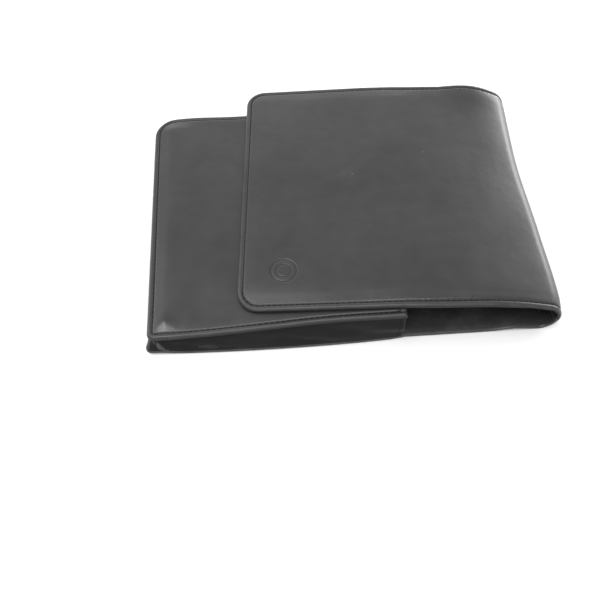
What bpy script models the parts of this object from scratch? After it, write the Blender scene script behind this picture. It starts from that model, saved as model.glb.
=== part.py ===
"""A flap-over leather pouch that lies on its back, in metres with +Z up.

The leather is one long strip: the back panel lies on the ground, the strip folds over at the
right and comes back as the flap. A second panel, the front, is sewn to the back at the closed end
on the left and is held up along both sides by gussets, so the pouch opens towards the fold.

Points on the strip have three coordinates: s runs along the strip from the closed end, t runs
across it from the near edge, and n is the depth below its outer surface. The fold line is a
little skew, so the folded flap leans away from the near edge, and it opens out in one line with
the back.
"""

from math import cos, pi, radians, sin, sqrt, tan

import bpy
from mathutils import Vector

MM = 0.001

# Overall sizes
LENGTH = 220 * MM  # from the closed end to the outside of the fold, along the near edge
WIDTH = 161 * MM  # across the strip
POUCH_DEPTH = 135 * MM  # from the closed end to the mouth
FLAP_REACH = 172 * MM  # from the outside of the fold back to the flap's free edge
SKEW = radians(2.3)  # how far the fold line is out of square

# The fold, from the back panel up and over to the flap
LOWER_RADIUS = 9.5 * MM
UPPER_RADIUS = 10.8 * MM
UPPER_TURN = radians(77)
CROWN_RADIUS = 215 * MM  # the flap's slow curve up to its highest line
LEVEL_RUN = 13 * MM  # the highest stretch, which is level
DROP_RADIUS = 290 * MM  # where the flap bends down over the mouth
DROP_TURN = radians(5.5)

# The back panel curls up to the seam at the closed end
CURL_LENGTH = 16 * MM
CURL_RISE = 3.1 * MM

# Layers
LEATHER = 1.3 * MM
BOARD = 0.9 * MM
LINING = 0.5 * MM
GAP = 0.3 * MM  # between neighbouring pieces
FLAP_CLEARANCE = 0.4 * MM  # between the closed flap and the front panel, where it is least
PANEL = LEATHER + GAP + BOARD + GAP + LINING
FACING_WIDTH = 12 * MM
GUSSET = 0.9 * MM

# Edges and corners
FRONT_INSET = 2.5 * MM  # the front panel is this much narrower at each side
NEAR_BOW = 1.8 * MM  # the back's near edge bows outwards beside the pouch
BOW_START = 5 * MM
FLAP_CORNER = 9.5 * MM
BACK_NEAR_CORNER = 9 * MM
BACK_FAR_CORNER = 10 * MM
FRONT_NEAR_CORNER = 4 * MM
FRONT_FAR_CORNER = 10 * MM
FOLD_SOFT = 14 * MM  # the boards stop this far short of the tight bends
SPLIT_GAP = 0.4 * MM  # between the leather of two bodies

# Stitching and the round mark
STITCH_INSET = 3 * MM
THREAD_RADIUS = 0.2 * MM
GROOVE_WIDTH = 1.0 * MM
GROOVE_DEPTH = 0.8 * MM
GROOVE_CLEAR = 0.5 * MM  # how far a cutter stands out of the skin
THREAD_SUNK = 0.1 * MM  # from the skin's surface to the thread
MARK_RADIUS = 7.5 * MM
MARK_LINE = 1.2 * MM
MARK_DEPTH = 0.35 * MM
MARK_FROM_END = 24.5 * MM  # from the flap's free edge to the mark's middle
MARK_FROM_NEAR = 22 * MM

# Gussets
GUSSET_START = 9 * MM  # from the closed end
GUSSET_FOOT = 2.4 * MM  # from the back panel's edge
GUSSET_HEAD = 1.2 * MM  # from the front panel's edge
GUSSET_LIFT = 0.6 * MM  # from the back's inner face to the foot
NEAR_BULGE = 0.06  # outwards half way up, as a share of the height
FAR_BULGE = 0.35
GUSSET_LINING_START = 25 * MM
GUSSET_LINING_INSET = 1.8 * MM  # from the gusset's outer face

# Worked out from the sizes above
FOLD_START = LENGTH - LOWER_RADIUS  # where the back panel stops being flat
CROWN_TURN = pi / 2 - UPPER_TURN
Q_SIDE = LOWER_RADIUS * pi / 2
Q_UPPER = Q_SIDE + UPPER_RADIUS * UPPER_TURN
Q_CROWN = Q_UPPER + CROWN_RADIUS * CROWN_TURN
Q_LEVEL = Q_CROWN + LEVEL_RUN
Q_DROP = Q_LEVEL + DROP_RADIUS * DROP_TURN
Q_LOWER_SPLIT = Q_SIDE / 2
Q_UPPER_SPLIT = Q_SIDE + UPPER_RADIUS * pi / 4
STEP = radians(9)


def arc(centre_e, centre_z, radius, turned):
    """A point on an arc and its inward direction, after turning from the ground."""
    out = Vector((sin(turned), -cos(turned)))
    return Vector((centre_e, centre_z)) + out * radius, -out


SIDE_E = LOWER_RADIUS
UPPER_CENTRE = (SIDE_E - UPPER_RADIUS, LOWER_RADIUS)
UPPER_END, UPPER_IN = arc(*UPPER_CENTRE, UPPER_RADIUS, pi / 2 + UPPER_TURN)
CROWN_CENTRE = UPPER_END + UPPER_IN * CROWN_RADIUS
TOP_E = CROWN_CENTRE.x
TOP_Z = CROWN_CENTRE.y + CROWN_RADIUS
DROP_CENTRE = (TOP_E - LEVEL_RUN, TOP_Z - DROP_RADIUS)
DROP_END, DROP_IN = arc(*DROP_CENTRE, DROP_RADIUS, pi + DROP_TURN)
DROP_ALONG = Vector((-cos(DROP_TURN), -sin(DROP_TURN)))
FLAP_LENGTH = (DROP_END.x - (SIDE_E - FLAP_REACH)) / cos(DROP_TURN)
STRIP_END = FOLD_START + Q_DROP + FLAP_LENGTH


def fold_curve(q):
    """The fold's section at the distance q past its start: a point and the inward direction."""
    if q <= Q_SIDE:
        return arc(0, LOWER_RADIUS, LOWER_RADIUS, q / LOWER_RADIUS)
    if q <= Q_UPPER:
        return arc(*UPPER_CENTRE, UPPER_RADIUS, pi / 2 + (q - Q_SIDE) / UPPER_RADIUS)
    if q <= Q_CROWN:
        turned = pi / 2 + UPPER_TURN + (q - Q_UPPER) / CROWN_RADIUS
        return arc(*CROWN_CENTRE, CROWN_RADIUS, turned)
    if q <= Q_LEVEL:
        return Vector((TOP_E - (q - Q_CROWN), TOP_Z)), Vector((0, -1))
    if q <= Q_DROP:
        return arc(*DROP_CENTRE, DROP_RADIUS, pi + (q - Q_LEVEL) / DROP_RADIUS)
    return DROP_END + DROP_ALONG * (q - Q_DROP), DROP_IN


ALONG_FOLD = Vector((sin(SKEW), cos(SKEW), 0))
ACROSS_FOLD = Vector((cos(SKEW), -sin(SKEW), 0))


def curl(s):
    """How far the back's outer surface is above the ground at s, and its slope."""
    rest = max(0.0, 1 - s / CURL_LENGTH)
    return CURL_RISE * rest**2, -2 * CURL_RISE / CURL_LENGTH * rest


def strip(s, t, n):
    """A point of the long strip."""
    q = (s - FOLD_START) * cos(SKEW) - t * sin(SKEW)
    if q <= 0:
        rise, slope = curl(s)
        up = Vector((-slope, 0, 1)).normalized()
        return Vector((s, t, rise)) + up * n
    p = (s - FOLD_START) * sin(SKEW) + t * cos(SKEW)
    point, inward = fold_curve(q)
    point = point + inward * n
    return Vector((FOLD_START, 0, point.y)) + ALONG_FOLD * p + ACROSS_FOLD * point.x


def flap_height(s):
    """The height of the closed flap's outer surface over s, at its far side, where it is least."""
    e = s - FOLD_START - WIDTH * tan(SKEW)
    if e <= DROP_END.x:
        return DROP_END.y - (DROP_END.x - e) * tan(DROP_TURN)
    if e <= DROP_CENTRE[0]:
        return DROP_CENTRE[1] + sqrt(DROP_RADIUS**2 - (e - DROP_CENTRE[0]) ** 2)
    if e <= TOP_E:
        return TOP_Z
    return CROWN_CENTRE.y + sqrt(CROWN_RADIUS**2 - (e - CROWN_CENTRE.x) ** 2)


# The front panel's outer surface starts over the curled back, and goes on just under the flap

FRONT_END_HEIGHT = CURL_RISE + PANEL + GAP + PANEL
UNDER_FLAP = PANEL / cos(DROP_TURN) + FLAP_CLEARANCE
FREE_EDGE = LENGTH - FLAP_REACH
EDGE_SLOPE = (flap_height(FREE_EDGE) - UNDER_FLAP - FRONT_END_HEIGHT) / FREE_EDGE
MOUTH_SLOPE = (flap_height(POUCH_DEPTH) - UNDER_FLAP - FRONT_END_HEIGHT) / POUCH_DEPTH
FRONT_BEND = (MOUTH_SLOPE - EDGE_SLOPE) / (POUCH_DEPTH - FREE_EDGE)
FRONT_END_SLOPE = EDGE_SLOPE - FRONT_BEND * FREE_EDGE


def front(s, t, n):
    """A point of the front panel, whose outer surface faces up."""
    height = FRONT_END_HEIGHT + FRONT_END_SLOPE * s + FRONT_BEND * s**2
    slope = FRONT_END_SLOPE + 2 * FRONT_BEND * s
    down = Vector((slope, 0, -1)).normalized()
    return Vector((s, t, height)) + down * n


def near_bow(s):
    """How far the back's near edge bows out at s."""
    share = min(max((s - BOW_START) / (POUCH_DEPTH - BOW_START), 0.0), 1.0)
    return NEAR_BOW * sin(pi * share) ** 0.5


# Lines across the strip are square to it (s) or follow the fold (q)


def line_s(line, t):
    kind, value = line
    if kind == "s":
        return value
    return FOLD_START + (value + t * sin(SKEW)) / cos(SKEW)


def corner_cut(distance, radius):
    """How much narrower a panel is at a distance from its end, for a round corner."""
    if distance >= radius:
        return 0.0
    return radius - sqrt(max(radius**2 - (radius - distance) ** 2, 0.0))


def end_lines(end, towards, radius):
    """Square lines over the length of an end's round corners."""
    turns = [radians(a) for a in (0, 18, 36, 54, 72, 90)]
    return [("s", end + towards * radius * (1 - cos(turn))) for turn in turns]


def bend_lines(first, last, radius):
    """Lines along the fold over a bend, with a narrow one at each end."""
    lines = [first, first + 0.1 * STEP * radius]
    count = max(1, round((last - first) / (STEP * radius)))
    lines += [first + (last - first) * i / count for i in range(1, count)]
    return [("q", q) for q in lines + [last - 0.1 * STEP * radius, last]]


def halfway(lines):
    """Lines between the given ones, so that a cutter's edges don't lie on the edges it cuts."""
    between = [
        (a[0], (a[1] + b[1]) / 2) for a, b in zip(lines, lines[1:]) if a[0] == b[0]
    ]
    return [lines[0], *between, lines[-1]]


def edges(line, near, far, inset, ends):
    """The values of t where a line meets the panel's two long edges."""
    near_cut = far_cut = 0.0
    for end, near_radius, far_radius in ends:
        distance = abs(line[1] - end) if line[0] == "s" else 1.0
        near_cut += corner_cut(distance, max(near_radius - inset, 0.3 * MM))
        far_cut += corner_cut(distance, max(far_radius - inset, 0.3 * MM))
    start = near(line_s(line, 0)) + inset + near_cut
    return start, far - inset - far_cut


# Blender objects

PARTS = "leather_case"
bodies = {}


def clear_scene():
    for obj in list(bpy.data.objects):
        bpy.data.objects.remove(obj, do_unlink=True)
    for name in (PARTS, "cutters"):
        old = bpy.data.collections.get(name)
        if old:
            bpy.data.collections.remove(old)
        bpy.context.scene.collection.children.link(bpy.data.collections.new(name))


def material(name, colour, roughness):
    made = bpy.data.materials.new(name)
    made.use_nodes = True
    shader = made.node_tree.nodes["Principled BSDF"]
    shader.inputs["Base Color"].default_value = (*colour, 1)
    shader.inputs["Roughness"].default_value = roughness
    shader.inputs["Metallic"].default_value = 0.0
    return made


def add_body(name, pivot, parent, shift):
    """An empty on a body's joint axis, which the body's pieces hang on."""
    empty = bpy.data.objects.new(name + "_body", None)
    empty.empty_display_size = 10 * MM
    bpy.data.collections[PARTS].objects.link(empty)
    if parent:
        empty.parent = bodies[parent][0]
        empty.location = pivot - bodies[parent][1]
    else:
        empty.location = pivot + shift
    bodies[name] = (empty, pivot)


def add_object(name, body, data, look, cutter=False):
    obj = bpy.data.objects.new(name, data)
    bpy.data.collections["cutters" if cutter else PARTS].objects.link(obj)
    obj.parent = bodies[body][0]
    if cutter:
        obj.hide_render = True
        obj.display_type = "WIRE"
    else:
        data.materials.append(material(name, *look))
    return obj


def add_sheet(name, body, rows, depth, look, cutter=False):
    """An open sheet of quads between rows of points, thickened away from its outer face."""
    pivot = bodies[body][1]
    points = [point - pivot for row in rows for point in row]
    width = len(rows[0])
    faces = []
    for i in range(len(rows) - 1):
        for j in range(width - 1):
            a = i * width + j
            faces.append((a, a + 1, a + width + 1, a + width))
    mesh = bpy.data.meshes.new(name)
    mesh.from_pydata(points, [], faces)
    obj = add_object(name, body, mesh, look, cutter)
    wall = obj.modifiers.new("wall", "SOLIDIFY")
    wall.thickness = depth
    wall.offset = -1
    wall.use_even_offset = True
    return obj


def cut(obj, cutter):
    boolean = obj.modifiers.new(cutter.name, "BOOLEAN")
    boolean.operation = "DIFFERENCE"
    boolean.solver = "MANIFOLD"  # EXACT empties the back skin when its leather is over 1.5 mm
    boolean.object = cutter


def panel_rows(surface, lines, near, far, n, inset, ends, rows=4):
    """Rows of points over a panel, from its near edge to its far edge."""
    grid = []
    for line in lines:
        start, stop = edges(line, near, far, inset, ends)
        ts = [start + (stop - start) * j / rows for j in range(rows + 1)]
        grid.append([surface(line_s(line, t), t, n) for t in ts])
    return grid


def add_thread(name, body, points, look):
    """A seam thread through points, as a tube with closed ends."""
    pivot = bodies[body][1]
    curve = bpy.data.curves.new(name, "CURVE")
    curve.dimensions = "3D"
    curve.bevel_depth = THREAD_RADIUS
    curve.bevel_resolution = 1
    curve.use_fill_caps = True
    spline = curve.splines.new("POLY")
    spline.points.add(len(points) - 1)
    for place, point in zip(spline.points, points):
        place.co = (*(point - pivot), 1)
    return add_object(name, body, curve, look)


def corner_path(end, towards, edge, inward, radius, inset):
    """The (s, t) points of a seam round one corner, from the panel's long edge to its end."""
    bend = max(radius - inset, 0.3 * MM)
    s_mid = end - towards * (inset + bend)
    t_mid = edge + inward * (inset + bend)
    turns = [radians(18 * i) for i in range(6)]
    return [(s_mid + towards * bend * sin(a), t_mid - inward * bend * cos(a)) for a in turns]


def edge_path(lines, edge, inset):
    """The (s, t) points of a seam along a long edge; the inset is negative from a far edge."""
    points = []
    for line in lines:
        t = edge(line_s(line, 0)) + inset
        points.append((line_s(line, t), t))
    return points


def end_seam(lines, near, far, end, towards, near_radius, far_radius):
    """A function from an inset to a seam along both long edges and one end of a panel."""
    reach = max(near_radius, far_radius) + MM
    lines = halfway(lines)
    straight = [line for line in lines if line[0] == "q" or abs(line[1] - end) > reach]

    def path(inset):
        near_turn = corner_path(end, towards, near(end), 1, near_radius, inset)
        far_turn = corner_path(end, towards, far, -1, far_radius, inset)
        near_side = edge_path(straight, near, inset)
        far_side = edge_path(straight, lambda s: far, -inset)
        return near_side + near_turn + far_turn[::-1] + far_side[::-1]

    return path


def sew(name, body, panel, surface, path, look, flip=False):
    """A groove along a seam in a leather panel, and the thread that lies in it."""
    outer = [surface(s, t, -GROOVE_CLEAR) for s, t in path(STITCH_INSET - GROOVE_WIDTH / 2)]
    inner = [surface(s, t, -GROOVE_CLEAR) for s, t in path(STITCH_INSET + GROOVE_WIDTH / 2)]
    rows = [(b, a) if flip else (a, b) for a, b in zip(outer, inner)]
    depth = GROOVE_DEPTH + GROOVE_CLEAR
    cut(panel, add_sheet(name + "_groove", body, rows, depth, look, cutter=True))
    points = [surface(s, t, THREAD_SUNK + THREAD_RADIUS) for s, t in path(STITCH_INSET)]
    return add_thread(name, body, points[1:-1], look)


def add_leather(name, body, grid, recess, look):
    """An outer skin whose edges are turned in, so its back is a shallow tray."""
    skin = add_sheet(name, body, grid, PANEL, look)
    depth = PANEL - LEATHER + GROOVE_CLEAR
    cut(skin, add_sheet(name + "_tray", body, recess, depth, look, cutter=True))
    return skin


# The looks of the pieces

BLACK_LEATHER = ((0.022, 0.022, 0.023), 0.45)
GUSSET_LEATHER = ((0.016, 0.016, 0.017), 0.55)
BLACK_CLOTH = ((0.02, 0.02, 0.022), 0.85)
BLACK_THREAD = ((0.012, 0.012, 0.012), 0.7)
GREY_BOARD = ((0.25, 0.23, 0.2), 0.9)

# Where each panel's cross lines are

IN_TRAY = LEATHER + GAP  # from a skin's outer edge to what lies in its tray
BOARD_DEPTH = LEATHER + GAP
LINING_DEPTH = BOARD_DEPTH + BOARD + GAP
OVER = 1 * MM  # how far a cutter runs past an open end
HALF_SPLIT = SPLIT_GAP / 2
BACK_BOARD_END = FOLD_START - FOLD_SOFT
FLAP_BOARD_START = Q_UPPER + FOLD_SOFT


def square_lines(*values):
    return [("s", value) for value in values]


def back_lines(inset, past):
    """From the closed end to the lower split, or a distance past it."""
    radius = max(BACK_NEAR_CORNER, BACK_FAR_CORNER) - inset
    lines = end_lines(inset, 1, radius)
    lines += square_lines(CURL_LENGTH * 0.8, CURL_LENGTH)
    beside = [POUCH_DEPTH * share for share in (0.2, 0.35, 0.5, 0.65, 0.8, 0.92, 1)]
    lines += square_lines(*beside, BACK_BOARD_END)
    return lines + bend_lines(0, Q_LOWER_SPLIT - HALF_SPLIT + past, LOWER_RADIUS)


def spine_lines(past):
    lower = bend_lines(Q_LOWER_SPLIT + HALF_SPLIT - past, Q_SIDE, LOWER_RADIUS)
    upper = bend_lines(Q_SIDE, Q_UPPER_SPLIT - HALF_SPLIT + past, UPPER_RADIUS)
    return lower[:-2] + upper[:1] + upper[2:]


def flap_lines(inset, past):
    """From the upper split to the free edge."""
    lines = bend_lines(Q_UPPER_SPLIT + HALF_SPLIT - past, Q_UPPER, UPPER_RADIUS)[:-2]
    lines += [("q", Q_UPPER + (Q_CROWN - Q_UPPER) * i / 5) for i in range(6)]
    lines += [("q", Q_LEVEL + (Q_DROP - Q_LEVEL) * i / 3) for i in range(4)]
    end = STRIP_END - inset
    return lines + end_lines(end, -1, FLAP_CORNER - inset)[::-1]


def front_lines(inset, mouth):
    radius = max(FRONT_NEAR_CORNER, FRONT_FAR_CORNER) - inset
    beside = [POUCH_DEPTH * share for share in (0.15, 0.3, 0.45, 0.6, 0.75, 0.88)]
    return end_lines(inset, 1, radius) + square_lines(*beside, mouth - 0.5 * MM, mouth)


def front_near(s):
    return FRONT_INSET


def strip_near(s):
    return 0.0


def back_near(s):
    return -near_bow(s)


FRONT_FAR = WIDTH - FRONT_INSET
BACK_ENDS = (0, BACK_NEAR_CORNER, BACK_FAR_CORNER)
FRONT_ENDS = (0, FRONT_NEAR_CORNER, FRONT_FAR_CORNER)
FLAP_ENDS = (STRIP_END, FLAP_CORNER, FLAP_CORNER)


def rows_of(surface, lines, near, far, depth, inset, ends):
    """Rows for a piece at a depth, set in from the panel's outline."""
    shrunk = [(end[0] + inset * (1 if end[0] == 0 else -1), *end[1:]) for end in ends]
    return panel_rows(surface, lines, near, far, depth, inset, shrunk)


def back_rows(depth, inset, past=0.0, last=None):
    lines = back_lines(inset, past)
    if past:
        lines = halfway(lines)
    if last is not None:
        lines = [line for line in lines if line[0] == "s" and line[1] < last] + [("s", last)]
    return rows_of(strip, lines, back_near, WIDTH, depth, inset, [BACK_ENDS])


def spine_rows(depth, inset, past=0.0):
    lines = halfway(spine_lines(past)) if past else spine_lines(past)
    return rows_of(strip, lines, strip_near, WIDTH, depth, inset, [])


def flap_rows(depth, inset, past=0.0, first=None):
    lines = flap_lines(inset, past)
    if past:
        lines = halfway(lines)
    if first is not None:
        after = [line for line in lines if line[0] == "s" or line[1] > first]
        lines = [("q", first)] + after
    return rows_of(strip, lines, strip_near, WIDTH, depth, inset, [FLAP_ENDS])


def front_rows(depth, inset, first=None, last=POUCH_DEPTH, tray=False):
    lines = front_lines(inset, last)
    if tray:
        lines = halfway(lines)
    lines = [line for line in lines if line[1] <= last]
    if first is not None:
        lines = square_lines(first) + [line for line in lines if line[1] > first]
    rows = rows_of(front, lines, front_near, FRONT_FAR, depth, inset, [FRONT_ENDS])
    return [row[::-1] for row in rows]


def gusset_rows(side, start, stop, sunk, lift, drop, steps=7, ribs=6):
    """A gusset's outer face, sunk towards the pouch; side is 1 for the near one."""
    rows = []
    for i in range(steps + 1):
        s = start + (stop - start) * i / steps
        edge = back_near(s) if side == 1 else WIDTH
        front_edge = FRONT_INSET if side == 1 else FRONT_FAR
        foot = strip(s, edge + side * (GUSSET_FOOT + sunk), PANEL + lift)
        head = front(s, front_edge + side * (GUSSET_HEAD + sunk), PANEL + drop)
        bulge = (NEAR_BULGE if side == 1 else FAR_BULGE) * (head.z - foot.z)
        row = []
        for j in range(ribs + 1):
            point = foot.lerp(head, j / ribs)
            point.y -= side * bulge * sin(pi * j / ribs)
            row.append(point)
        rows.append(row[:: -side])
    return rows


# The hinges lie along the fold line, just outside the leather's two bends. They are placed so
# that the leather keeps its length, and the flap's level stretch comes down to the ground.

HINGE_REACH = 1.11  # of the lower bend's radius, out from its centre
FOLD_HUMP = 1.3 * MM  # how much of the upper bend's length stays in a hump
LOWER_HINGE = arc(0, LOWER_RADIUS, LOWER_RADIUS * HINGE_REACH, pi / 4)[0]
HINGE_SUM = TOP_E + LOWER_RADIUS + (Q_CROWN - Q_SIDE) - FOLD_HUMP
HINGE_DIFFERENCE = SIDE_E - TOP_Z
UPPER_HINGE = Vector(((HINGE_SUM + HINGE_DIFFERENCE) / 2, (HINGE_SUM - HINGE_DIFFERENCE) / 2))


def hinge_middle(hinge):
    """The middle of a hinge line that is given in the fold's section."""
    along = ALONG_FOLD * (WIDTH / 2)
    return Vector((FOLD_START, 0, hinge.y)) + along + ACROSS_FOLD * hinge.x


def middle_shift(grids):
    """What brings the middle of the leather's box to the origin."""
    points = [point for grid in grids for row in grid for point in row]
    low = [min(point[i] for point in points) for i in (0, 1)]
    high = [max(point[i] for point in points) for i in (0, 1)]
    return Vector((-(low[0] + high[0]) / 2, -(low[1] + high[1]) / 2, 0))


def make_back():
    recess = back_rows(LEATHER, LEATHER, past=OVER)
    skin = add_leather("back_leather", "case", back_rows(0, 0), recess, BLACK_LEATHER)
    board = back_rows(BOARD_DEPTH, IN_TRAY, last=BACK_BOARD_END)
    add_sheet("back_board", "case", board, BOARD, GREY_BOARD)
    lining = back_rows(LINING_DEPTH, IN_TRAY)
    add_sheet("back_lining", "case", lining, LINING, BLACK_CLOTH)
    lines = back_lines(0, 0)[::-1]
    path = end_seam(lines, back_near, WIDTH, 0, -1, BACK_NEAR_CORNER, BACK_FAR_CORNER)
    sew("back_stitching", "case", skin, strip, path, BLACK_THREAD, flip=True)


def make_front():
    recess = front_rows(LEATHER, LEATHER, last=POUCH_DEPTH - LEATHER, tray=True)
    skin = add_leather("front_leather", "case", front_rows(0, 0), recess, BLACK_LEATHER)
    inner = POUCH_DEPTH - IN_TRAY
    board = front_rows(BOARD_DEPTH, IN_TRAY, last=inner)
    add_sheet("front_board", "case", board, BOARD, GREY_BOARD)
    lining = front_rows(LINING_DEPTH, IN_TRAY, last=inner - FACING_WIDTH - GAP)
    add_sheet("front_lining", "case", lining, LINING, BLACK_CLOTH)
    facing = front_rows(LINING_DEPTH, IN_TRAY, first=inner - FACING_WIDTH, last=inner)
    add_sheet("mouth_facing", "case", facing, LINING, GUSSET_LEATHER)
    lines = front_lines(0, POUCH_DEPTH - STITCH_INSET)[::-1]
    path = end_seam(lines, front_near, FRONT_FAR, 0, -1, FRONT_NEAR_CORNER, FRONT_FAR_CORNER)
    sew("front_stitching", "case", skin, front, path, BLACK_THREAD)


def make_gussets():
    stop = POUCH_DEPTH - GAP
    for name, side in (("gusset_near", 1), ("gusset_far", -1)):
        leather = gusset_rows(side, GUSSET_START, stop, 0, GUSSET_LIFT, GAP)
        add_sheet(name, "case", leather, GUSSET, GUSSET_LEATHER)
        lining = gusset_rows(
            side, GUSSET_LINING_START, stop - MM, GUSSET_LINING_INSET, 2 * GUSSET_LIFT, 3 * GAP
        )
        add_sheet(name + "_lining", "case", lining, LINING, BLACK_CLOTH)


def make_spine():
    recess = spine_rows(LEATHER, LEATHER, past=OVER)
    skin = add_leather("spine_leather", "spine", spine_rows(0, 0), recess, BLACK_LEATHER)
    add_sheet("spine_lining", "spine", spine_rows(LINING_DEPTH, IN_TRAY), LINING, BLACK_CLOTH)
    lines = halfway(spine_lines(0))

    def near_path(inset):
        return edge_path(lines, strip_near, inset)

    def far_path(inset):
        return edge_path(lines, lambda s: WIDTH, -inset)

    sew("spine_stitching_near", "spine", skin, strip, near_path, BLACK_THREAD)
    sew("spine_stitching_far", "spine", skin, strip, far_path, BLACK_THREAD, flip=True)


def press_mark(skin):
    """A plain round line pressed into the flap near its free corner."""
    s, t = STRIP_END - MARK_FROM_END, MARK_FROM_NEAR
    middle = strip(s, t, 0)
    along = (strip(s + MM, t, 0) - middle).normalized()
    normal = along.cross((strip(s, t + MM, 0) - middle).normalized())
    half = MARK_LINE / 2
    bpy.ops.mesh.primitive_torus_add(
        major_segments=36, minor_segments=8, major_radius=MARK_RADIUS - half, minor_radius=half
    )
    ring = bpy.context.object
    mesh = ring.data
    bpy.data.objects.remove(ring)
    cutter = add_object("mark_line", "flap", mesh, BLACK_LEATHER, cutter=True)
    cutter.rotation_euler = normal.to_track_quat("Z", "Y").to_euler()
    out = normal if normal.z > 0 else -normal
    cutter.location = middle + out * (half - MARK_DEPTH) - bodies["flap"][1]
    cut(skin, cutter)


def make_flap():
    recess = flap_rows(LEATHER, LEATHER, past=OVER)
    skin = add_leather("flap_leather", "flap", flap_rows(0, 0), recess, BLACK_LEATHER)
    board = flap_rows(BOARD_DEPTH, IN_TRAY, first=FLAP_BOARD_START)
    add_sheet("flap_board", "flap", board, BOARD, GREY_BOARD)
    add_sheet("flap_lining", "flap", flap_rows(LINING_DEPTH, IN_TRAY), LINING, BLACK_CLOTH)
    corner = FLAP_CORNER
    path = end_seam(flap_lines(0, 0), strip_near, WIDTH, STRIP_END, 1, corner, corner)
    sew("flap_stitching", "flap", skin, strip, path, BLACK_THREAD)
    press_mark(skin)


def make_case():
    clear_scene()
    far_gusset = gusset_rows(-1, GUSSET_START, POUCH_DEPTH, 0, GUSSET_LIFT, GAP)
    grids = (back_rows(0, 0), spine_rows(0, 0), flap_rows(0, 0), far_gusset)
    shift = middle_shift(grids)
    add_body("case", Vector((0, 0, 0)), None, shift)
    add_body("spine", hinge_middle(LOWER_HINGE), "case", shift)
    add_body("flap", hinge_middle(UPPER_HINGE), "spine", shift)
    make_back()
    make_front()
    make_gussets()
    make_spine()
    make_flap()


make_case()
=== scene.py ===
"""The leather pouch's finished look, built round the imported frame.

Each leather panel, lining and gusset is a flat cut piece first: a grid whose columns run along the
strip and whose rows run across it. It is given its wall, and is then laid on the pouch's shape.
"""

from math import cos, exp, hypot, pi, radians, sin, sqrt, tan

import bpy
from mathutils import Matrix, Vector, noise


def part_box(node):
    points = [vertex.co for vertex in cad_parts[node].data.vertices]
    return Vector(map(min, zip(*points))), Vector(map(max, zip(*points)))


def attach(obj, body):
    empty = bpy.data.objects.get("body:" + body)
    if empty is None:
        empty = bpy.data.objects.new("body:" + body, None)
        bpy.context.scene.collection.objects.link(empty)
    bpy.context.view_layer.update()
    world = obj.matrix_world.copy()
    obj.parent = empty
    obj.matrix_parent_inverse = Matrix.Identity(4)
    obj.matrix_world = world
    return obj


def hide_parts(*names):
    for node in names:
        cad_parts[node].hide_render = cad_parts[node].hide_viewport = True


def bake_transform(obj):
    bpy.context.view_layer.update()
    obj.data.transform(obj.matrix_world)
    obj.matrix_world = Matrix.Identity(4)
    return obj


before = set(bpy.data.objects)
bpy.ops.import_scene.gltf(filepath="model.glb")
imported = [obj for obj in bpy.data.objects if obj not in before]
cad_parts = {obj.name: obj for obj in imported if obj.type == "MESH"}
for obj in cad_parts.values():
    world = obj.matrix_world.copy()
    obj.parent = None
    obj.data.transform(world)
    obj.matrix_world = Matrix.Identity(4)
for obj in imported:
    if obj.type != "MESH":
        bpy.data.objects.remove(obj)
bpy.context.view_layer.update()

MM = 0.001

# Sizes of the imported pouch

LENGTH = 220 * MM
WIDTH = 161 * MM
POUCH_DEPTH = 135 * MM
FLAP_REACH = 173.8 * MM
SKEW = radians(2.3)
LOWER_RADIUS = 9.5 * MM
UPPER_RADIUS = 10.8 * MM
UPPER_TURN = radians(77)
CROWN_RADIUS = 215 * MM
LEVEL_RUN = 13 * MM
DROP_RADIUS = 290 * MM
DROP_TURN = radians(5.5)
CURL_LENGTH = 16 * MM
CURL_RISE = 3.1 * MM
PANEL = 3.3 * MM
GAP = 0.3 * MM
FLAP_CLEARANCE = 0.4 * MM
FRONT_INSET = 2.5 * MM
FRONT_FAR = WIDTH - FRONT_INSET
NEAR_BOW = 2.5 * MM
BOW_START = 0.5 * MM
FLAP_CORNER = 11.5 * MM
BACK_NEAR_CORNER = 3.2 * MM
BACK_FAR_CORNER = 10 * MM
FRONT_NEAR_CORNER = 4 * MM
FRONT_FAR_CORNER = 13 * MM
STITCH_INSET = 3 * MM
MARK_FROM_END = 24.5 * MM
MARK_FROM_NEAR = 22 * MM
OUTER_RING = 6.9 * MM
INNER_RING = 3.9 * MM
MARK_SPAN = 8.4 * MM
GUSSET = 0.9 * MM
GUSSET_FOOT = 0.5 * MM
GUSSET_HEAD = 1.2 * MM
NEAR_BULGE = 0.06
FAR_BULGE = 0.35
FAR_GUSSET_SWELL = 2.6 * MM
CREASE_RUN = 9 * MM
CREASE_RISE = 6 * MM
CREASE_SIZE = 1.3 * MM  # its height and its reach
FACING_WIDTH = 12 * MM
LINING = 0.5 * MM

# The strip's shape

FOLD_START = LENGTH - LOWER_RADIUS
CROWN_TURN = pi / 2 - UPPER_TURN
Q_SIDE = LOWER_RADIUS * pi / 2
Q_UPPER = Q_SIDE + UPPER_RADIUS * UPPER_TURN
Q_CROWN = Q_UPPER + CROWN_RADIUS * CROWN_TURN
Q_LEVEL = Q_CROWN + LEVEL_RUN
Q_DROP = Q_LEVEL + DROP_RADIUS * DROP_TURN


def arc(centre_e, centre_z, radius, turned):
    """A point on an arc and its inward direction, after turning from the ground."""
    out = Vector((sin(turned), -cos(turned)))
    return Vector((centre_e, centre_z)) + out * radius, -out


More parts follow.
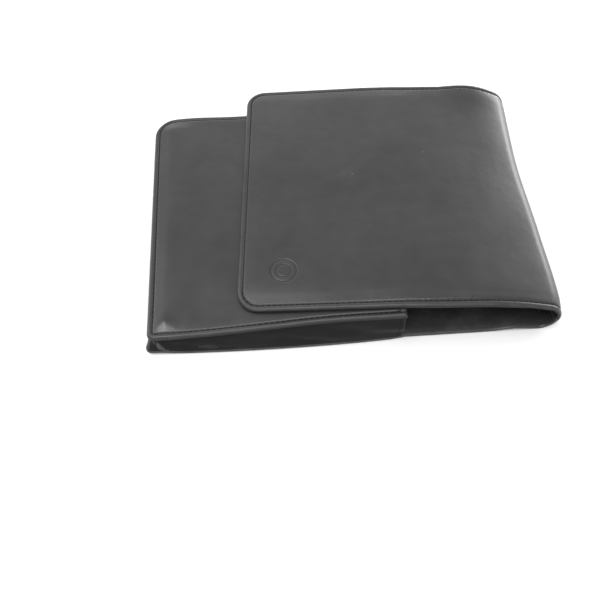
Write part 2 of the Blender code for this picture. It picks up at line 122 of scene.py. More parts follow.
SIDE_E = LOWER_RADIUS
UPPER_CENTRE = (SIDE_E - UPPER_RADIUS, LOWER_RADIUS)
UPPER_END, UPPER_IN = arc(*UPPER_CENTRE, UPPER_RADIUS, pi / 2 + UPPER_TURN)
CROWN_CENTRE = UPPER_END + UPPER_IN * CROWN_RADIUS
TOP_E = CROWN_CENTRE.x
TOP_Z = CROWN_CENTRE.y + CROWN_RADIUS
DROP_CENTRE = (TOP_E - LEVEL_RUN, TOP_Z - DROP_RADIUS)
DROP_END, DROP_IN = arc(*DROP_CENTRE, DROP_RADIUS, pi + DROP_TURN)
DROP_ALONG = Vector((-cos(DROP_TURN), -sin(DROP_TURN)))
FLAP_LENGTH = (DROP_END.x - (SIDE_E - FLAP_REACH)) / cos(DROP_TURN)
STRIP_END = FOLD_START + Q_DROP + FLAP_LENGTH
ALONG_FOLD = Vector((sin(SKEW), cos(SKEW), 0))
ACROSS_FOLD = Vector((cos(SKEW), -sin(SKEW), 0))

# What brings the sizes above to the frame's origin
SHIFT = Vector((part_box("back_leather")[0].x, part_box("front_leather")[1].y - FRONT_FAR, 0))


def fold_curve(q):
    """The fold's section at the distance q past its start: a point and the inward direction."""
    if q <= Q_SIDE:
        return arc(0, LOWER_RADIUS, LOWER_RADIUS, q / LOWER_RADIUS)
    if q <= Q_UPPER:
        return arc(*UPPER_CENTRE, UPPER_RADIUS, pi / 2 + (q - Q_SIDE) / UPPER_RADIUS)
    if q <= Q_CROWN:
        turned = pi / 2 + UPPER_TURN + (q - Q_UPPER) / CROWN_RADIUS
        return arc(*CROWN_CENTRE, CROWN_RADIUS, turned)
    if q <= Q_LEVEL:
        return Vector((TOP_E - (q - Q_CROWN), TOP_Z)), Vector((0, -1))
    if q <= Q_DROP:
        return arc(*DROP_CENTRE, DROP_RADIUS, pi + (q - Q_LEVEL) / DROP_RADIUS)
    return DROP_END + DROP_ALONG * (q - Q_DROP), DROP_IN


def past_fold(s, t):
    """The distance q of a place on the strip past the start of the fold."""
    return (s - FOLD_START) * cos(SKEW) - t * sin(SKEW)


def smooth(start, stop, value):
    """0 before start, 1 after stop, and an easy change between them."""
    share = min(max((value - start) / (stop - start), 0.0), 1.0)
    return share * share * (3 - 2 * share)


def hill(value, middle, reach):
    return exp(-(((value - middle) / reach) ** 2))


def through(knots, value):
    """A smooth line through (place, height) knots in millimetres, level past its ends."""
    value = min(max(value / MM, knots[0][0]), knots[-1][0])
    for i in range(len(knots) - 1):
        (x0, y0), (x1, y1) = knots[i], knots[i + 1]
        if value <= x1:
            before = knots[max(i - 1, 0)]
            after = knots[min(i + 2, len(knots) - 1)]
            slope0 = (y1 - before[1]) / (x1 - before[0])
            slope1 = (after[1] - y0) / (after[0] - x0)
            u, run = (value - x0) / (x1 - x0), x1 - x0
            rest = 1 - u
            ends = y0 * rest * rest * (1 + 2 * u) + y1 * u * u * (3 - 2 * u)
            return (ends + run * u * rest * (slope0 * rest - slope1 * u)) * MM
    return knots[-1][1] * MM


# The worn shape, as (place, height) knots in millimetres: the fold's flare along its width, and
# the low and the sharp part of the hump at its far end, across the fold.
FLARE = ((0, 0), (10, 1.0), (30, 1.2), (60, 0.5), (96, -0.7), (125, 0.1), (140, 1.0), (161, 2.6))
LOW_HUMP = ((-75, 0), (-50, 0.8), (-30, 2.1), (-15, 3.0), (0, 2.4), (8, 0.8), (14, 0))
TOP_HUMP = ((-35, 0), (-22, 1.8), (-11, 2.4), (0, 1.1), (10, 0))
FLARE_START = -14 * MM
LOW_HUMP_REACH = 42 * MM
TOP_HUMP_REACH = 12 * MM
NEAR_SAG = 1.3 * MM
BACK_LIFT = 1.7 * MM
BACK_LIFT_PLACE = 197 * MM
SQUASHED_CORNER = Vector((-2.2 * MM, -0.4 * MM, -1.6 * MM))


def fold_slump(t, q):
    """How far the fold and flap stand away from the neat strip."""
    section = fold_curve(max(q, 0))[0]
    share = smooth(FLARE_START, Q_SIDE, q) * (1 - smooth(Q_UPPER, Q_UPPER + 16 * MM, q))
    move = ACROSS_FOLD * through(FLARE, t) * share
    if q > Q_SIDE * 0.6:
        move.z -= NEAR_SAG * hill(t, 0, 9 * MM) * smooth(Q_UPPER, Q_CROWN, q)
        far = through(LOW_HUMP, section.x) * hill(t, WIDTH, LOW_HUMP_REACH)
        far += through(TOP_HUMP, section.x) * hill(t, WIDTH, TOP_HUMP_REACH)
        move.z += far * smooth(Q_SIDE * 0.6, Q_SIDE * 1.3, q)
    return move


def back_slump(s, t, q):
    """The back's lift beside the fold, and its squashed near corner at the closed end."""
    lift = hill(s, BACK_LIFT_PLACE, 8 * MM) * hill(t, 0, 12 * MM) * (1 - smooth(0, Q_SIDE, q))
    corner = hill(s, 0, 5 * MM) * hill(t, -1 * MM, 6 * MM)
    return Vector((0, 0, BACK_LIFT * lift)) + SQUASHED_CORNER * corner


def slump(s, t, q):
    """How far the worn leather stands away from the neat strip."""
    move = Vector((0, 0, 0))
    if q > FLARE_START:
        move += fold_slump(t, q)
    if q < Q_SIDE:
        move += back_slump(s, t, q)
    return move


def strip(s, t, n):
    """A point of the long strip; n is the depth below its outer surface."""
    q = past_fold(s, t)
    if q <= 0:
        rest = max(0.0, 1 - s / CURL_LENGTH)
        slope = -2 * CURL_RISE / CURL_LENGTH * rest
        up = Vector((-slope, 0, 1)).normalized()
        point = Vector((s, t, CURL_RISE * rest**2)) + up * n
    else:
        p = (s - FOLD_START) * sin(SKEW) + t * cos(SKEW)
        section, inward = fold_curve(q)
        section = section + inward * n
        point = Vector((FOLD_START, 0, section.y)) + ALONG_FOLD * p + ACROSS_FOLD * section.x
    return point + slump(s, t, q) + SHIFT


def flap_height(s):
    """The height of the closed flap's outer surface over s, at its far side."""
    e = s - FOLD_START - WIDTH * tan(SKEW)
    if e <= DROP_END.x:
        return DROP_END.y - (DROP_END.x - e) * tan(DROP_TURN)
    if e <= DROP_CENTRE[0]:
        return DROP_CENTRE[1] + sqrt(DROP_RADIUS**2 - (e - DROP_CENTRE[0]) ** 2)
    if e <= TOP_E:
        return TOP_Z
    return CROWN_CENTRE.y + sqrt(CROWN_RADIUS**2 - (e - CROWN_CENTRE.x) ** 2)


FRONT_END_HEIGHT = CURL_RISE + PANEL + GAP + PANEL
UNDER_FLAP = PANEL / cos(DROP_TURN) + FLAP_CLEARANCE
FREE_EDGE = LENGTH - FLAP_REACH
EDGE_SLOPE = (flap_height(FREE_EDGE) - UNDER_FLAP - FRONT_END_HEIGHT) / FREE_EDGE
MOUTH_SLOPE = (flap_height(POUCH_DEPTH) - UNDER_FLAP - FRONT_END_HEIGHT) / POUCH_DEPTH
FRONT_BEND = (MOUTH_SLOPE - EDGE_SLOPE) / (POUCH_DEPTH - FREE_EDGE)
FRONT_END_SLOPE = EDGE_SLOPE - FRONT_BEND * FREE_EDGE
MOUTH_SAG = 1.5 * MM


def front(s, t, n):
    """A point of the front panel, whose outer surface faces up."""
    height = FRONT_END_HEIGHT + FRONT_END_SLOPE * s + FRONT_BEND * s**2
    slope = FRONT_END_SLOPE + 2 * FRONT_BEND * s
    down = Vector((slope, 0, -1)).normalized()
    sag = MOUTH_SAG * hill(t, FRONT_INSET, 10 * MM) * smooth(100 * MM, POUCH_DEPTH, s)
    return Vector((s, t, height - sag)) + down * n + SHIFT


def near_bow(s):
    share = min(max((s - BOW_START) / (POUCH_DEPTH - BOW_START), 0.0), 1.0)
    return NEAR_BOW * sin(pi * share) ** 0.5


# Cut pieces: an outline, and a grid of columns and rows in it


class Cut:
    """A flat cut piece: its two long edges, and one end with round corners."""

    def __init__(self, surface, near, far, end, towards, near_corner, far_corner):
        self.surface, self.near, self.far = surface, near, far
        self.end, self.towards = end, towards
        self.near_corner, self.far_corner = near_corner, far_corner

    def inset(self, s, t):
        """The distance from the outline."""
        end = (s - self.end) * self.towards

        def side(distance, radius):
            if distance < radius and end < radius:
                return radius - hypot(radius - distance, radius - end)
            return min(distance, end)

        near, far = t - self.near(s), self.far(s) - t
        return min(side(near, self.near_corner), side(far, self.far_corner))

    def stand(self, s, t, start, stop):
        """0 at the seam and 1 well inside it, with no ridges where two sides meet."""
        sides = (t - self.near(s), self.far(s) - t, (s - self.end) * self.towards)
        share = 1.0
        for side in sides:
            share *= smooth(start, stop, side)
        return share

    def limits(self, s, inset=0.0):
        """Where the long edges are at s, for a piece that is set in from the outline."""
        end = (s - self.end) * self.towards - inset
        cuts = []
        for radius in (self.near_corner - inset, self.far_corner - inset):
            rest = max(radius - max(end, 0.0), 0.0)
            cuts.append(radius - sqrt(max(radius**2 - rest**2, 0.0)) if rest > 0 else 0.0)
        return self.near(s) + inset + cuts[0], self.far(s) - inset - cuts[1]

    def seam(self, from_s, inset, step=1 * MM):
        """(s, t) points of a seam from a place on the near edge, round the end and back."""
        near_r, far_r = self.near_corner - inset, self.far_corner - inset
        points = []
        reach = (from_s - self.end) * self.towards
        count = int((reach - self.near_corner) / step)
        for i in range(count):
            s = self.end + self.towards * (reach - i * step)
            points.append((s, self.near(s) + inset))
        centre = self.end + self.towards * self.near_corner
        edge = self.near(self.end)
        for i in range(13):
            turn = radians(7.5 * i)
            s = centre - self.towards * near_r * sin(turn)
            points.append((s, edge + self.near_corner - near_r * cos(turn)))
        centre = self.end + self.towards * self.far_corner
        for i in range(13):
            turn = radians(90 - 7.5 * i)
            s = centre - self.towards * far_r * sin(turn)
            points.append((s, self.far(s) - self.far_corner + far_r * cos(turn)))
        count = int((reach - self.far_corner) / step)
        for i in range(count):
            s = self.end + self.towards * (self.far_corner + (i + 1) * step)
            points.append((s, self.far(s) - inset))
        return points


NEAR_TUCK = ((0, 0), (30, 0.1), (60, 0.8), (85, 1.3), (108, 0.9), (135, 0))
FAR_SWELL = ((0, 1.2), (12, 2.4), (26, 2.6), (45, 1.2), (65, 0.2), (80, 0))
FLAP_SWELL = 1.3 * MM


def flap_near(s):
    return -FLAP_SWELL * smooth(262 * MM, 310 * MM, s)


def strip_far(s):
    return WIDTH


BACK = Cut(
    strip, lambda s: -near_bow(s), strip_far, 0, 1, BACK_NEAR_CORNER, BACK_FAR_CORNER
)
FLAP = Cut(strip, flap_near, strip_far, STRIP_END, -1, FLAP_CORNER, FLAP_CORNER)
FRONT = Cut(
    front,
    lambda s: FRONT_INSET + through(NEAR_TUCK, s),
    lambda s: FRONT_FAR + through(FAR_SWELL, s),
    0,
    1,
    FRONT_NEAR_CORNER,
    FRONT_FAR_CORNER,
)

EDGE_STEPS = [0, 0.1, 0.35, 0.8, 1.3, 1.8, 2.3, 2.65, 3.0, 3.35, 3.7]
EDGE_STEPS = [x * MM for x in EDGE_STEPS + [4.2 + 0.55 * i for i in range(12)]]
DENSE = EDGE_STEPS[-1]


def evenly(start, stop, step):
    count = max(1, round(abs(stop - start) / step))
    return [start + (stop - start) * i / count for i in range(count + 1)]


def line_s(line, t):
    kind, value = line
    return value if kind == "s" else FOLD_START + (value + t * sin(SKEW)) / cos(SKEW)


def square(values):
    return [("s", value) for value in values]


def skew(values):
    return [("q", value) for value in values]


def across(span, fine=()):
    """Row places: near-edge insets, shares of the middle, and far-edge insets. Rows lie closer
    together between the two places of fine."""
    middle = evenly(0, 1, 3.6 * MM / (span - 2 * DENSE))
    low, high = fine or (0, 0)
    low, high = (low - DENSE) / (span - 2 * DENSE), (high - DENSE) / (span - 2 * DENSE)
    kept = [x for x in middle[1:-1] if not low - 0.01 < x < high + 0.01]
    if fine:
        kept += evenly(low, high, 0.55 * MM / (span - 2 * DENSE))
    near = [("near", x) for x in EDGE_STEPS]
    return near + [("middle", x) for x in sorted(kept)] + [("far", x) for x in EDGE_STEPS[::-1]]


def row_t(row, start, stop):
    kind, value = row
    if kind == "near":
        return start + value
    if kind == "far":
        return stop - value
    return start + DENSE + (stop - start - 2 * DENSE) * value


def add_slab(name, columns, rows, place):
    """A closed piece of two layers. place(line, row, inner) gives a corner's point, and its
    place on the flat cut with its distance from the edge."""
    bpy.ops.object.select_all(action="DESELECT")
    across_count, along_count = len(rows) - 1, len(columns) - 1
    bpy.ops.mesh.primitive_grid_add(x_subdivisions=along_count, y_subdivisions=across_count, size=1)
    obj = bpy.context.object
    obj.name = obj.data.name = name
    wall = obj.modifiers.new("wall", "SOLIDIFY")
    wall.thickness, wall.offset = 1, -1
    bpy.ops.object.modifier_apply(modifier=wall.name)
    mesh = obj.data
    flat = {}
    rim = mesh.attributes.new("rim", "FLOAT", "POINT")
    under = mesh.attributes.new("under", "FLOAT", "POINT")
    for vertex in mesh.vertices:
        column = columns[round((vertex.co.x + 0.5) * along_count)]
        row = rows[round((vertex.co.y + 0.5) * across_count)]
        vertex.co, flat[vertex.index], inset, *depth = place(column, row, vertex.co.z < -0.5)
        rim.data[vertex.index].value = inset
        under.data[vertex.index].value = depth[0] if depth else 0
    layer = mesh.uv_layers.active or mesh.uv_layers.new(name="cut")
    for loop in mesh.loops:
        layer.data[loop.index].uv = flat[loop.vertex_index]
    recalculate(obj)
    bpy.ops.object.shade_smooth_by_angle(angle=radians(75))
    return obj


def recalculate(obj):
    bpy.ops.object.select_all(action="DESELECT")
    obj.select_set(True)
    bpy.context.view_layer.objects.active = obj
    bpy.ops.object.mode_set(mode="EDIT")
    bpy.ops.mesh.select_all(action="SELECT")
    bpy.ops.mesh.remove_doubles(threshold=0.000002)
    bpy.ops.mesh.normals_make_consistent(inside=False)
    bpy.ops.object.mode_set(mode="OBJECT")


# The leather panels

EDGE_ROUND = 1.35 * MM
BACK_ROUND = 0.6 * MM
BACK_EDGE = 1.5 * MM
SIDE_ROUND = 1.0 * MM
CORNER_PUFF = 0.4 * MM
SEAM_RIDGE = 0.45 * MM
HANDLED_PLACE = 118 * MM  # from the flap's free end
GROOVE = 0.55 * MM
GROOVE_REACH = 0.45 * MM
TURNED = 0.12 * MM
RING_DEPTH = 0.42 * MM
ROLL = 0.12 * MM


def rounded(inset, radius=EDGE_ROUND):
    """How far a rounded edge falls away at a distance from the outline."""
    rest = max(radius - inset, 0.0)
    return radius - sqrt(max(radius**2 - rest**2, 0.0))


def thickness(cut, s, t, inset):
    """A panel's thickness: less round the fold, and least along the back's turned edge."""
    if cut is FRONT:
        return PANEL
    q = past_fold(s, t)
    bare = smooth(-24 * MM, -12 * MM, q) * (1 - smooth(Q_UPPER + 8 * MM, Q_UPPER + 24 * MM, q))
    thick = PANEL - 1.1 * MM * bare
    if cut is BACK:
        thin = (1 - smooth(0.5 * MM, 2.6 * MM, inset)) * (1 - smooth(-2 * MM, Q_SIDE, q))
        thick -= (thick - BACK_EDGE) * thin
    return thick


def padding(inset):
    """How far the outer face stands out beside the seam."""
    groove = GROOVE * hill(inset, STITCH_INSET, GROOVE_REACH)
    turned = TURNED * smooth(0, 1.4 * MM, inset) * (1 - smooth(2.6 * MM, 5 * MM, inset))
    return turned - groove + ROLL * smooth(STITCH_INSET, STITCH_INSET + 2.6 * MM, inset)


def mark_dip(s, t):
    """Two plain rings pressed into the flap."""
    away = hypot(s - (STRIP_END - MARK_FROM_END), t - MARK_FROM_NEAR)
    line = hill(away, OUTER_RING, 0.5 * MM) + 0.8 * hill(away, INNER_RING, 0.45 * MM)
    return RING_DEPTH * line


def unevenness(s, t, seed, size, height):
    return height * noise.noise(Vector((s / size, t / size, seed)))


def edge_radius(cut, q):
    """The roundness of a panel's edge, which is the same for both pieces at the fold's side."""
    if cut is FRONT:
        return EDGE_ROUND
    radius = BACK_ROUND if cut is BACK else EDGE_ROUND
    to_side = smooth(Q_SIDE - 9 * MM, Q_SIDE, q) * (1 - smooth(Q_SIDE, Q_SIDE + 9 * MM, q))
    return radius + (SIDE_ROUND - radius) * to_side


def worn_stand(cut, s, t, inset):
    """Where handling has raised the outer face: the front's near corner and the flap's seam."""
    if cut is FRONT:
        return CORNER_PUFF * hill(s, 9 * MM, 8 * MM) * hill(t, 10 * MM, 6 * MM)
    if cut is BACK:
        return 0
    ridge = smooth(3.3 * MM, 4.5 * MM, inset) * (1 - smooth(4.6 * MM, 9 * MM, inset))
    handled = hill(STRIP_END - s, HANDLED_PLACE, 34 * MM) * hill(t, 4 * MM, 9 * MM)
    return SEAM_RIDGE * ridge * handled


def panel_place(cut, puff, seed, end=None, fade=None, mark=False):
    def outer_stand(s, t, inset, q):
        share = cut.stand(s, t, 2.4 * MM, 11 * MM)
        stand = padding(inset) + puff * share * (fade(s) if fade else 1)
        stand += worn_stand(cut, s, t, inset)
        stand += unevenness(s, t, seed, 30 * MM, 0.35 * MM) * smooth(3 * MM, 12 * MM, inset)
        if cut is BACK:
            # The back lies flat, so nothing of it stands out below the ground.
            return min(stand, 0) + max(stand, 0) * smooth(0, 0.7 * Q_SIDE, q)
        return stand

    def place(line, row, inner):
        s = line_s(line, 80 * MM)
        for _ in range(3):
            t = row_t(row, *cut.limits(s))
            s = line_s(line, t)
        inset, q = cut.inset(s, t), past_fold(s, t)
        edge = min(inset, abs(end - s)) if end is not None else inset
        n = rounded(edge, edge_radius(cut, q))
        if inner:
            n = thickness(cut, s, t, inset) - n
        else:
            n = n - outer_stand(s, t, inset, q) + (mark_dip(s, t) if mark else 0)
        return cut.surface(s, t, n), (s, t), edge, n / PANEL if cut is not BACK else 0

    return place


def add_flap():
    fold = evenly(Q_SIDE, Q_UPPER, 0.8 * MM) + evenly(Q_UPPER, Q_DROP, 2.6 * MM)[1:]
    first_mark = MARK_FROM_END - MARK_SPAN
    last_mark = MARK_FROM_END + MARK_SPAN
    ends = [STRIP_END - x for x in EDGE_STEPS]
    ends += [STRIP_END - x for x in evenly(DENSE, first_mark, 1.2 * MM)[1:]]
    ends += [STRIP_END - x for x in evenly(first_mark, last_mark, 0.55 * MM)[1:]]
    start = line_s(("q", Q_DROP), WIDTH) + 2 * MM
    ends += evenly(STRIP_END - last_mark, start, 3 * MM)[1:]
    rows = across(WIDTH, (MARK_FROM_NEAR - MARK_SPAN, MARK_FROM_NEAR + MARK_SPAN))
    place = panel_place(FLAP, 0.3 * MM, 3.1, mark=True)
    return add_slab("flap_panel", skew(fold) + square(ends[::-1]), rows, place)


def add_back():
    straight = EDGE_STEPS + evenly(DENSE, 205 * MM, 3.6 * MM)[1:]
    fold = evenly(-2.5 * MM, 0, 2.5 * MM) + evenly(0, Q_SIDE, 0.75 * MM)[1:]
    place = panel_place(BACK, 0.1 * MM, 7.7)
    return add_slab("back_panel", square(straight) + skew(fold), across(WIDTH), place)


def add_front():
    lip = [POUCH_DEPTH - x for x in EDGE_STEPS[:9][::-1]]
    straight = EDGE_STEPS + evenly(DENSE, lip[0], 3.4 * MM)[1:-1] + lip
    place = panel_place(
        FRONT,
        1.1 * MM,
        5.3,
        end=POUCH_DEPTH,
        fade=lambda s: 1 - 0.95 * smooth(8 * MM, 30 * MM, s),
    )
    return add_slab("front_panel", square(straight), across(WIDTH - 2 * FRONT_INSET), place)


# Linings, the mouth's facing and the gussets

LINING_INSET = 3.4 * MM
BACK_LINING_INSET = 1.2 * MM


def lining_place(cut, inset, gathers, seed):
    def place(line, row, inner):
        s = line_s(line, 80 * MM)
        for _ in range(3):
            start, stop = cut.limits(s, inset)
            t = start + (stop - start) * row
            s = line_s(line, t)
        edge = min(t - start, stop - t, abs((s - cut.end) * cut.towards - inset))
        loose = smooth(0, 6 * MM, edge)
        lift = abs(unevenness(s, t, seed, 14 * MM, 1.1 * MM)) * loose
        lift += abs(unevenness(s * 1.6, t, seed + 5, 6 * MM, 0.8 * MM)) * loose
        lift += gathers(s, t) * (0.6 + 0.4 * loose)
        under = thickness(cut, s, t, cut.inset(s, t))
        n = under - 0.15 * MM + max(lift, 0) + (LINING if inner else 0)
        return cut.surface(s, t, n), (s, t), edge

    return place


def no_gathers(s, t):
    return 0.0


GATHER_PITCH = 3.1 * MM
GATHER_HEIGHT = 1.0 * MM


def fold_gathers(s, t):
    """Creases along the inside of the fold, where the lining is too long for the bend."""
    q = past_fold(s, t)
    drift = unevenness(s, t, 11.0, 22 * MM, 1.6 * MM)
    wave = 0.5 + 0.5 * sin(2 * pi * (q + drift) / GATHER_PITCH)
    here = smooth(-2 * MM, 5 * MM, q) * (1 - smooth(Q_UPPER - 3 * MM, Q_UPPER + 8 * MM, q))
    return GATHER_HEIGHT * wave * here


def shares(count):
    return [i / count for i in range(count + 1)]


def close_sides(count):
    """Shares of a width, closer together at its two sides."""
    side = [0.0, 0.002, 0.005, 0.009, 0.014]
    middle = [0.02 + 0.96 * i / count for i in range(count + 1)]
    return side + middle + [1 - x for x in side[::-1]]


def add_back_lining():
    straight = evenly(BACK_LINING_INSET, 9 * MM, 1 * MM) + evenly(9 * MM, 196 * MM, 3.2 * MM)[1:]
    fold = evenly(-12 * MM, 0, 2 * MM) + evenly(0, Q_SIDE, 0.5 * MM)[1:]
    place = lining_place(BACK, BACK_LINING_INSET, fold_gathers, 2.0)
    return add_slab("back_cloth", square(straight) + skew(fold), close_sides(50), place)


def add_flap_lining():
    fold = evenly(Q_SIDE, Q_UPPER + 9 * MM, 0.5 * MM) + evenly(Q_UPPER + 9 * MM, Q_DROP, 3 * MM)[1:]
    start = line_s(("q", Q_DROP), WIDTH) + 2 * MM
    straight = evenly(start, STRIP_END - LINING_INSET - 10 * MM, 3.4 * MM)
    straight += evenly(straight[-1], STRIP_END - LINING_INSET, 1 * MM)[1:]
    place = lining_place(FLAP, LINING_INSET, fold_gathers, 4.0)
    return add_slab("flap_cloth", skew(fold) + square(straight), close_sides(50), place)


def add_front_lining():
    last = POUCH_DEPTH - LINING_INSET - FACING_WIDTH
    straight = evenly(LINING_INSET, LINING_INSET + 8 * MM, 1 * MM)
    straight += evenly(straight[-1], last, 3.6 * MM)[1:]
    place = lining_place(FRONT, LINING_INSET, no_gathers, 6.0)
    return add_slab("front_cloth", square(straight), shares(44), place)


def add_facing():
    last = POUCH_DEPTH - 2.2 * MM
    straight = evenly(last - FACING_WIDTH, last, 1 * MM)

    def place(line, row, inner):
        s = line[1]
        start, stop = FRONT.limits(s, 2.6 * MM)
        t = start + (stop - start) * row
        edge = min(t - start, stop - t, s - straight[0], last - s)
        n = PANEL - 0.2 * MM + (0.95 * MM - 0.3 * MM * exp(-edge / (0.5 * MM)) if inner else 0)
        return front(s, t, n), (s, t), edge

    return add_slab("mouth_hem", square(straight), shares(40), place)


def gusset_point(side, s, up, sunk, lift, drop):
    """A point of a gusset; side is 1 for the near one, and up goes from its foot to its head."""
    back_near, back_far = BACK.limits(s)
    front_near, front_far = FRONT.limits(s)
    back_edge = back_near if side == 1 else back_far
    front_edge = front_near if side == 1 else front_far
    foot_t = back_edge + side * (GUSSET_FOOT + sunk)
    inset = max(BACK.inset(s, foot_t), 0)
    foot = strip(s, foot_t, thickness(BACK, s, foot_t, inset) - rounded(inset, BACK_ROUND) + lift)
    head = front(s, front_edge + side * (GUSSET_HEAD + sunk), PANEL + drop)
    point = foot.lerp(head, up)
    bulge = (NEAR_BULGE if side == 1 else FAR_BULGE) * (head.z - foot.z)
    if side == -1:
        bulge += FAR_GUSSET_SWELL * smooth(0, 30 * MM, s) * (1 - smooth(60 * MM, 120 * MM, s))
    else:
        crease = 1.5 * MM + CREASE_RUN * (1 - up)
        bulge += CREASE_SIZE * hill(s, crease, CREASE_SIZE)
    point.y -= side * bulge * sin(pi * up)
    return point, head.z - foot.z


def gusset_place(side, sunk, lift, drop, thick, start):
    def place(line, row, inner):
        s = line[1]
        point, height = gusset_point(side, s, row, sunk, lift, drop)
        crease = 0.45 * MM * sin(2 * pi * (1.4 * row + s / (46 * MM)) + 0.8 * side)
        crease += unevenness(s, row * 22 * MM, 9.0 * side, 9 * MM, 0.9 * MM)
        tall = smooth(1.5 * MM, 8 * MM, height)
        point.y += side * (crease * tall * sin(pi * row) + (thick if inner else 0))
        return point, (s, row * max(height, MM)), min(s - start, POUCH_DEPTH - s)

    return place


def add_gusset(name, side):
    columns = square([1.2 * MM, 2 * MM, 3 * MM, 4.2 * MM] + evenly(6 * MM, 134.6 * MM, 2.4 * MM))
    place = gusset_place(side, 0, -0.2 * MM, -0.2 * MM, GUSSET, 1.2 * MM)
    return add_slab(name, columns, shares(14), place)


def add_gusset_lining(name, side):
    columns = square(evenly(12 * MM, 133.4 * MM, 3 * MM))
    place = gusset_place(side, GUSSET + 0.35 * MM, 0.5 * MM, 0.5 * MM, LINING, 12 * MM)
    return add_slab(name, columns, shares(10), place)


# Stitches

PITCH = 3.0 * MM
STITCH_LENGTH = 2.35 * MM
STITCH_RADIUS = 0.3 * MM
STITCH_DEPTH = 0.36 * MM


def stitch_template():
    """One stitch: a short plump thread whose ends dive into the leather."""
    bpy.ops.object.select_all(action="DESELECT")
    bpy.ops.mesh.primitive_uv_sphere_add(segments=8, ring_count=8, radius=1)
    obj = bpy.context.object
    for vertex in obj.data.vertices:
        x, y, z = vertex.co
        along = z
        girth = 1 / max(hypot(x, y), 0.3) if abs(z) < 0.75 else 1.25
        dive = 0.9 * abs(along) ** 3
        vertex.co = (
            along * STITCH_LENGTH / 2,
            x * girth * STITCH_RADIUS,
            (y * girth - dive) * STITCH_RADIUS,
        )
    for polygon in obj.data.polygons:
        polygon.use_smooth = True
    return obj


def add_stitches(name, surface, seam):
    """Stitches along a seam's (s, t) points."""
    places = [(surface(s, t, STITCH_DEPTH), surface(s, t, 0)) for s, t in seam]
    template = stitch_template()
    copies, walked, target = [], 0.0, PITCH / 2
    for (a, a_top), (b, b_top) in zip(places, places[1:]):
        step = (b - a).length
        while step > 0 and walked + step >= target:
            share = (target - walked) / step
            middle = a.lerp(b, share)
            up = (a_top.lerp(b_top, share) - middle).normalized()
            along = (b - a).normalized()
            aside = up.cross(along).normalized()
            up = along.cross(aside)
            turn = Matrix((along, aside, up)).transposed().to_4x4()
            copy = template.copy()
            copy.data = template.data.copy()
            copy.data.transform(Matrix.Translation(middle) @ turn)
            bpy.context.collection.objects.link(copy)
            copies.append(copy)
            target += PITCH
        walked += step
    bpy.data.objects.remove(template)
    bpy.ops.object.select_all(action="DESELECT")
    for copy in copies:
        copy.select_set(True)
    bpy.context.view_layer.objects.active = copies[0]
    bpy.ops.object.join()
    obj = bpy.context.object
    obj.name = obj.data.name = name
    return obj


def seam_of(cut, first):
    """A seam that starts and ends on the line `first` across the strip."""
    near = cut.seam(line_s(first, 0), STITCH_INSET)
    reach = abs(line_s(first, WIDTH) - line_s(first, 0))
    if first[0] == "s":
        return near
    extra = cut.seam(line_s(first, WIDTH), STITCH_INSET)
    side = 1 if cut is BACK else -1
    half = len(near) // 2
    return near[:half] + extra[len(extra) - (len(near) - half) - round(side * reach / MM) :]


# Materials


class Field:
    """A socket of a material's nodes. Sums on it add Math nodes."""

    def __init__(self, tree, socket=None):
        self.tree, self.socket = tree, socket

    def node(self, kind, settings=None, sockets=None, output=0):
        """Any other node, with its settings first and then its sockets' values or links."""
        made = self.tree.nodes.new(kind)
        for key, value in (settings or {}).items():
            if key == "stops":
                ramp = made.color_ramp.elements
                while len(ramp) < len(value):
                    ramp.new(0.5)
                for stop, (position, level) in zip(ramp, value):
                    stop.position, stop.color = position, (level, level, level, 1)
            else:
                setattr(made, key, value)
        for key, value in (sockets or {}).items():
            if isinstance(value, Field):
                self.tree.links.new(value.socket, made.inputs[key])
            else:
                made.inputs[key].default_value = value
        return Field(self.tree, made.outputs[output] if len(made.outputs) else None)

    def sum(self, operation, a, b=0.0):
        return self.node("ShaderNodeMath", {"operation": operation}, {0: a, 1: b})

    def __add__(self, other):
        return self.sum("ADD", self, other)

    __radd__ = __add__

    def __sub__(self, other):
        return self.sum("SUBTRACT", self, other)

    def __rsub__(self, other):
        return self.sum("SUBTRACT", other, self)

    def __mul__(self, other):
        return self.sum("MULTIPLY", self, other)

    __rmul__ = __mul__

    def sine(self):
        return self.sum("SINE", self)

    def size(self):
        return self.sum("ABSOLUTE", self)

    def between(self, low, high):
        """0 at low, 1 at high, with an easy change between them."""
        settings = {"interpolation_type": "SMOOTHSTEP"}
        return self.node("ShaderNodeMapRange", settings, {"Value": self, 1: low, 2: high})

    def noise(self, scale, detail=2.0, roughness=0.5):
        sockets = {"Vector": self, "Scale": scale, "Detail": detail, "Roughness": roughness}
        return self.node("ShaderNodeTexNoise", {"noise_dimensions": "3D"}, sockets)

    def cells(self, scale, feature="F1", output=0):
        settings = {"voronoi_dimensions": "3D", "feature": feature}
        return self.node("ShaderNodeTexVoronoi", settings, {"Vector": self, "Scale": scale}, output)

    def away_from(self, point):
        settings = {"operation": "DISTANCE"}
        return self.node("ShaderNodeVectorMath", settings, {0: self, 1: point}, "Value")

    def stretched(self, scale):
        return self.node("ShaderNodeMapping", None, {"Vector": self, "Scale": scale})

    def part(self, axis):
        return self.node("ShaderNodeSeparateXYZ", None, {0: self}, axis)

    def mix(self, low, high):
        """A colour between two, by this field."""
        settings = {"data_type": "RGBA"}
        return self.node("ShaderNodeMix", settings, {0: self, 6: low, 7: high}, 2)

    def raised(self, strength, distance, below=None):
        sockets = {"Height": self, "Strength": strength, "Distance": distance}
        if below:
            sockets["Normal"] = below
        return self.node("ShaderNodeBump", None, sockets)


def new_material(name):
    made = bpy.data.materials.new(name)
    made.use_nodes = True
    shader = made.node_tree.nodes["Principled BSDF"]
    return made, shader, Field(made.node_tree)


